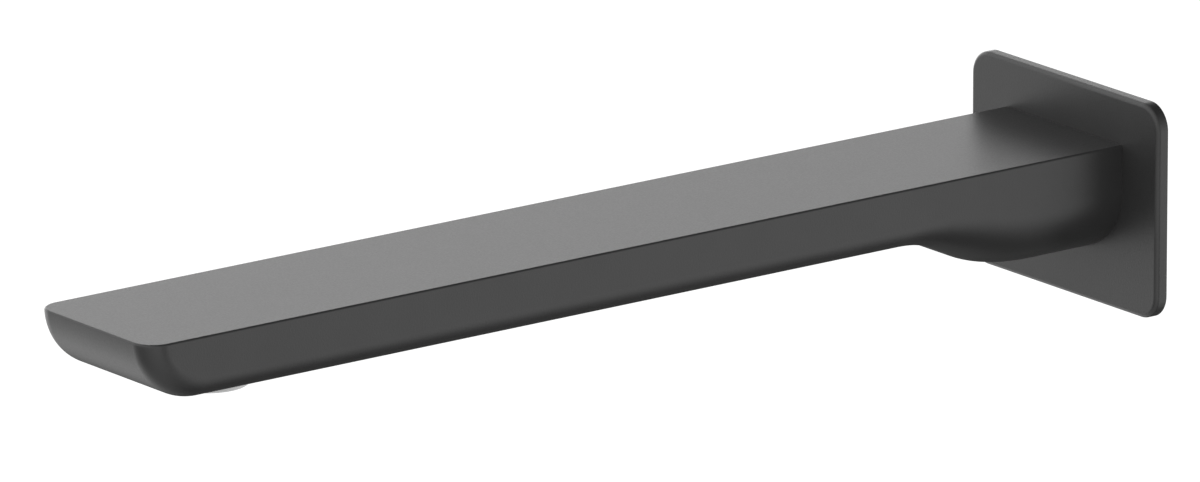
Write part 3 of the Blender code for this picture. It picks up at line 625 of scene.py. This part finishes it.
def build_shell(material):
    """Threaded cup of the aerator, with the rounded lip that shows under the spout."""
    centre = (0, OUTLET_Y, 0)
    stations = [
        (SHELL_RIM_RADIUS, SHELL_BOTTOM),
        (SHELL_RIM_RADIUS, SHELL_BOTTOM + SHELL_RIM_HEIGHT),
        (SHELL_BORE_RADIUS, SHELL_BOTTOM + SHELL_RIM_HEIGHT),
        (SHELL_BORE_RADIUS, SHELL_TOP),
    ]
    size = (SHELL_THREAD_RADIUS, SHELL_THREAD_DEPTH, SHELL_THREAD_PITCH)
    thread = thread_stations(*size, SHELL_NECK, SHELL_TOP, SHELL_THREAD_FADE)
    stations += thread[::-1]
    stations.append((SHELL_LIP_RADIUS, SHELL_NECK))
    for step in range(9):
        angle = pi / 2 * step / 8
        radius = SHELL_LIP_RADIUS - SHELL_LIP_ROUND * (1 - cos(angle))
        stations.append((radius, SHELL_BOTTOM + SHELL_LIP_ROUND * (1 - sin(angle))))
    shell = add_object("aerator_cup", revolve(stations, "Z", HOLE_STEPS, centre), material)
    carve(shell, [])
    return shell


class Nodes:
    """Adds shader nodes with their inputs and links in one call each."""

    def __init__(self, tree):
        self.tree = tree

    def add(self, kind, settings=None, **inputs):
        node = self.tree.nodes.new(kind)
        for key, value in (settings or {}).items():
            setattr(node, key, value)
        for key, value in inputs.items():
            socket = node.inputs[key.replace("_", " ")]
            if isinstance(value, bpy.types.NodeSocket):
                self.tree.links.new(value, socket)
            else:
                socket.default_value = value
        return node

    def maths(self, operation, *values):
        """A Math node with the given sockets or numbers, and its result."""
        node = self.tree.nodes.new("ShaderNodeMath")
        node.operation = operation
        for index, value in enumerate(values):
            if isinstance(value, bpy.types.NodeSocket):
                self.tree.links.new(value, node.inputs[index])
            else:
                node.inputs[index].default_value = value
        return node.outputs["Value"]


def blank_material(name):
    material = bpy.data.materials.new(name)
    material.use_nodes = True
    shader = material.node_tree.nodes["Principled BSDF"]
    return material, Nodes(material.node_tree), shader


def ramp(nodes, value, low, high):
    """Maps a noise value from 0.3..0.7 to low..high."""
    node = nodes.add("ShaderNodeMapRange", Value=value)
    node.inputs["From Min"].default_value = 0.3
    node.inputs["From Max"].default_value = 0.7
    node.inputs["To Min"].default_value = low
    node.inputs["To Max"].default_value = high
    return node.outputs["Result"]


def coating(name, colour, roughness, grain, relief):
    """Fine matt coating: tiny even grain in relief and gloss, and a faint clouding in tone."""
    material, nodes, shader = blank_material(name)
    place = nodes.add("ShaderNodeTexCoord").outputs["Object"]
    fine = nodes.add("ShaderNodeTexNoise", Vector=place, Scale=grain, Detail=2.0, Roughness=0.6)
    cloud = nodes.add("ShaderNodeTexNoise", Vector=place, Scale=90.0, Detail=4.0, Roughness=0.6)
    tone = nodes.add("ShaderNodeMix", {"data_type": "RGBA"})
    nodes.tree.links.new(ramp(nodes, cloud.outputs["Fac"], 0.0, 1.0), tone.inputs["Factor"])
    tone.inputs["A"].default_value = (*[channel * 0.93 for channel in colour], 1)
    tone.inputs["B"].default_value = (*[channel * 1.07 for channel in colour], 1)
    nodes.tree.links.new(tone.outputs["Result"], shader.inputs["Base Color"])
    gloss = ramp(nodes, fine.outputs["Fac"], roughness - 0.03, roughness + 0.03)
    nodes.tree.links.new(gloss, shader.inputs["Roughness"])
    bump = nodes.add("ShaderNodeBump", Strength=relief, Distance=0.00003)
    nodes.tree.links.new(fine.outputs["Fac"], bump.inputs["Height"])
    nodes.tree.links.new(bump.outputs["Normal"], shader.inputs["Normal"])
    return material


def turned_metal(name, colour, roughness, axis):
    """Machined metal: fine turning lines round the axis, and faint stains."""
    material, nodes, shader = blank_material(name)
    place = nodes.add("ShaderNodeTexCoord").outputs["Object"]
    stretch = nodes.add("ShaderNodeMapping", Vector=place)
    scale = [20.0, 20.0, 20.0]
    scale["XYZ".index(axis)] = 9000.0
    stretch.inputs["Scale"].default_value = scale
    lines = nodes.add("ShaderNodeTexNoise", Vector=stretch.outputs["Vector"], Scale=1.0, Detail=2.0)
    stain = nodes.add("ShaderNodeTexNoise", Vector=place, Scale=220.0, Detail=4.0)
    tone = nodes.add("ShaderNodeMix", {"data_type": "RGBA"})
    nodes.tree.links.new(ramp(nodes, stain.outputs["Fac"], 0.0, 1.0), tone.inputs["Factor"])
    tone.inputs["A"].default_value = (colour[0] * 0.82, colour[1] * 0.80, colour[2] * 0.76, 1)
    tone.inputs["B"].default_value = (*colour, 1)
    nodes.tree.links.new(tone.outputs["Result"], shader.inputs["Base Color"])
    gloss = ramp(nodes, lines.outputs["Fac"], roughness - 0.06, roughness + 0.08)
    nodes.tree.links.new(gloss, shader.inputs["Roughness"])
    bump = nodes.add("ShaderNodeBump", Strength=0.25, Distance=0.00001)
    nodes.tree.links.new(lines.outputs["Fac"], bump.inputs["Height"])
    nodes.tree.links.new(bump.outputs["Normal"], shader.inputs["Normal"])
    shader.inputs["Metallic"].default_value = 1.0
    return material


def moulded(name, colour, roughness, grain, relief, spread=0.06):
    """Moulded plastic, rubber or foam: soft mottling and a fine skin."""
    material, nodes, shader = blank_material(name)
    place = nodes.add("ShaderNodeTexCoord").outputs["Object"]
    skin = nodes.add("ShaderNodeTexNoise", Vector=place, Scale=grain, Detail=3.0)
    mottle = nodes.add("ShaderNodeTexNoise", Vector=place, Scale=grain / 12, Detail=2.0)
    tone = nodes.add("ShaderNodeMix", {"data_type": "RGBA"})
    nodes.tree.links.new(ramp(nodes, mottle.outputs["Fac"], 0.0, 1.0), tone.inputs["Factor"])
    tone.inputs["A"].default_value = (*[channel * (1 - spread) for channel in colour], 1)
    tone.inputs["B"].default_value = (*[channel * (1 + spread) for channel in colour], 1)
    nodes.tree.links.new(tone.outputs["Result"], shader.inputs["Base Color"])
    gloss = ramp(nodes, skin.outputs["Fac"], roughness - 0.04, roughness + 0.04)
    nodes.tree.links.new(gloss, shader.inputs["Roughness"])
    bump = nodes.add("ShaderNodeBump", Strength=relief, Distance=0.00004)
    nodes.tree.links.new(skin.outputs["Fac"], bump.inputs["Height"])
    nodes.tree.links.new(bump.outputs["Normal"], shader.inputs["Normal"])
    return material


def smoothing_group():
    """Geometry nodes that shade a node's round faces smooth and keep its sharp edges."""
    group = bpy.data.node_groups.new("smooth_round_faces", "GeometryNodeTree")
    group.interface.new_socket("Geometry", in_out="INPUT", socket_type="NodeSocketGeometry")
    group.interface.new_socket("Geometry", in_out="OUTPUT", socket_type="NodeSocketGeometry")
    source = group.nodes.new("NodeGroupInput")
    target = group.nodes.new("NodeGroupOutput")
    merge = group.nodes.new("GeometryNodeMergeByDistance")
    merge.inputs["Distance"].default_value = 1e-6
    faces = group.nodes.new("GeometryNodeSetShadeSmooth")
    faces.domain = "FACE"
    faces.inputs["Shade Smooth"].default_value = True
    edges = group.nodes.new("GeometryNodeSetShadeSmooth")
    edges.domain = "EDGE"
    edges.inputs["Shade Smooth"].default_value = False
    angle = group.nodes.new("GeometryNodeInputMeshEdgeAngle")
    sharp = group.nodes.new("ShaderNodeMath")
    sharp.operation = "GREATER_THAN"
    sharp.inputs[1].default_value = SMOOTH_ANGLE
    link = group.links.new
    link(source.outputs[0], merge.inputs["Geometry"])
    link(merge.outputs[0], faces.inputs["Geometry"])
    link(faces.outputs[0], edges.inputs["Geometry"])
    link(angle.outputs["Unsigned Angle"], sharp.inputs[0])
    link(sharp.outputs[0], edges.inputs["Selection"])
    link(edges.outputs[0], target.inputs[0])
    return group


def dress_node(name, material, group):
    """Gives a CAD node that stays its finish and smooth round faces."""
    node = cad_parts[name]
    node.data.materials.clear()
    node.data.materials.append(material)
    modifier = node.modifiers.new("smooth", "NODES")
    modifier.node_group = group


def glowing_white(name):
    """Plain white that looks the same from everywhere, seen from one side of the face only."""
    material, nodes, shader = blank_material(name)
    shader.inputs["Base Color"].default_value = (0, 0, 0, 1)
    shader.inputs["Roughness"].default_value = 1.0
    shader.inputs["Specular IOR Level"].default_value = 0.0
    shader.inputs["Emission Color"].default_value = (1, 1, 1, 1)
    shader.inputs["Emission Strength"].default_value = 1.1
    clear = nodes.add("ShaderNodeBsdfTransparent")
    back = nodes.add("ShaderNodeNewGeometry").outputs["Backfacing"]
    mix = nodes.add("ShaderNodeMixShader")
    nodes.tree.links.new(back, mix.inputs[0])
    nodes.tree.links.new(shader.outputs[0], mix.inputs[1])
    nodes.tree.links.new(clear.outputs[0], mix.inputs[2])
    output = nodes.tree.nodes["Material Output"]
    nodes.tree.links.new(mix.outputs[0], output.inputs["Surface"])
    return material


def build_stage():
    """A wide white floor, clear from below, and a white backdrop round it. Neither lights the spout."""
    white = glowing_white("studio_white")
    bm = bmesh.new()
    corners = [(-1, -1), (1, -1), (1, 1), (-1, 1)]
    reach = FLOOR_HALF_WIDTH
    bm.faces.new([bm.verts.new((x * reach, y * reach, FLOOR_HEIGHT)) for x, y in corners])
    floor = add_object("floor", bm, white, smooth=False)
    if floor.data.polygons[0].normal.z < 0:
        floor.data.flip_normals()
    bm = bmesh.new()
    bmesh.ops.create_icosphere(bm, subdivisions=4, radius=BACKDROP_RADIUS)
    backdrop = add_object("backdrop", bm, white)
    backdrop.data.flip_normals()
    for obj in (floor, backdrop):
        obj.visible_glossy = False
        obj.visible_diffuse = False
        obj.visible_shadow = False


def build_camera():
    data = bpy.data.cameras.new("camera")
    data.lens = CAMERA_LENS
    data.sensor_width = CAMERA_SENSOR
    data.sensor_fit = "HORIZONTAL"
    data.clip_start = 0.1
    data.clip_end = 50
    camera = bpy.data.objects.new("camera", data)
    bpy.context.scene.collection.objects.link(camera)
    flat = cos(CAMERA_ELEVATION)
    back = Vector((sin(CAMERA_AZIMUTH) * flat, -cos(CAMERA_AZIMUTH) * flat, sin(CAMERA_ELEVATION)))
    camera.location = Vector(CAMERA_AIM) + back * CAMERA_DISTANCE
    camera.rotation_mode = "QUATERNION"
    camera.rotation_quaternion = back.to_track_quat("Z", "Y")
    bpy.context.scene.camera = camera


def build_world():
    """Soft studio light from all round: the even glow plus the soft lights and flags."""
    world = bpy.data.worlds.new("studio")
    bpy.context.scene.world = world
    world.use_nodes = True
    nodes = Nodes(world.node_tree)
    way = nodes.add("ShaderNodeTexCoord").outputs["Generated"]
    total = EVEN_GLOW
    for azimuth, elevation, width, strength in SOFT_LIGHTS.values():
        turn, tilt = radians(azimuth), radians(elevation)
        centre = (cos(tilt) * cos(turn), cos(tilt) * sin(turn), sin(tilt))
        along = nodes.add("ShaderNodeVectorMath", {"operation": "DOT_PRODUCT"})
        nodes.tree.links.new(way, along.inputs[0])
        along.inputs[1].default_value = centre
        sharpness = 1 / radians(width) ** 2
        power = nodes.maths("MULTIPLY_ADD", along.outputs["Value"], sharpness, -sharpness)
        fall = nodes.maths("EXPONENT", power)
        total = nodes.maths("MULTIPLY_ADD", fall, strength, total)
    total = nodes.maths("MAXIMUM", total, 0.0)
    back = world.node_tree.nodes["Background"]
    nodes.tree.links.new(total, back.inputs["Strength"])
    back.inputs["Color"].default_value = (1, 1, 1, 1)
    bpy.context.scene.view_settings.view_transform = "Standard"


def add_piece(piece, node):
    """The piece stands for the CAD node of that name: it goes under the root body and the node is
    hidden.
    """
    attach(piece, "root")
    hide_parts(node)


COATING = {"colour": (0.022, 0.022, 0.022), "roughness": 0.38, "grain": 2400.0, "relief": 0.65}
black = coating("matt_black_body", **COATING)
plate_black = coating("matt_black_plate", **COATING)
brass = turned_metal("turned_brass", (0.72, 0.55, 0.26), 0.3, "Y")
steel = turned_metal("screw_steel", (0.56, 0.56, 0.57), 0.32, "Z")
rubber = moulded("black_rubber", (0.018, 0.018, 0.018), 0.6, 4000.0, 0.3)
foam = moulded("closed_cell_foam", (0.012, 0.012, 0.012), 0.9, 2500.0, 1.0, spread=0.3)
pale_plastic = moulded("pale_plastic", (0.63, 0.63, 0.63), 0.42, 5000.0, 0.12, spread=0.02)
white_plastic = moulded("white_plastic", (0.78, 0.78, 0.77), 0.45, 5000.0, 0.12, spread=0.02)

add_piece(build_body(black), "spout_body")
add_piece(build_plate(plate_black), "wall_plate")
add_piece(build_nipple(brass), "inlet_nipple")
add_piece(build_o_ring("front_o_ring", RING_PLACES[0], rubber), "nipple_o_ring_front")
add_piece(build_o_ring("rear_o_ring", RING_PLACES[1], rubber), "nipple_o_ring_rear")
add_piece(build_screw(steel), "grub_screw")
add_piece(build_shell(pale_plastic), "aerator_shell")

smooth_round = smoothing_group()
dress_node("plate_seal", foam, smooth_round)
dress_node("aerator_seal", rubber, smooth_round)
for node_name in ("aerator_honeycomb", "aerator_jet_plate", "aerator_screen"):
    dress_node(node_name, white_plastic, smooth_round)

build_stage()
build_camera()
build_world()
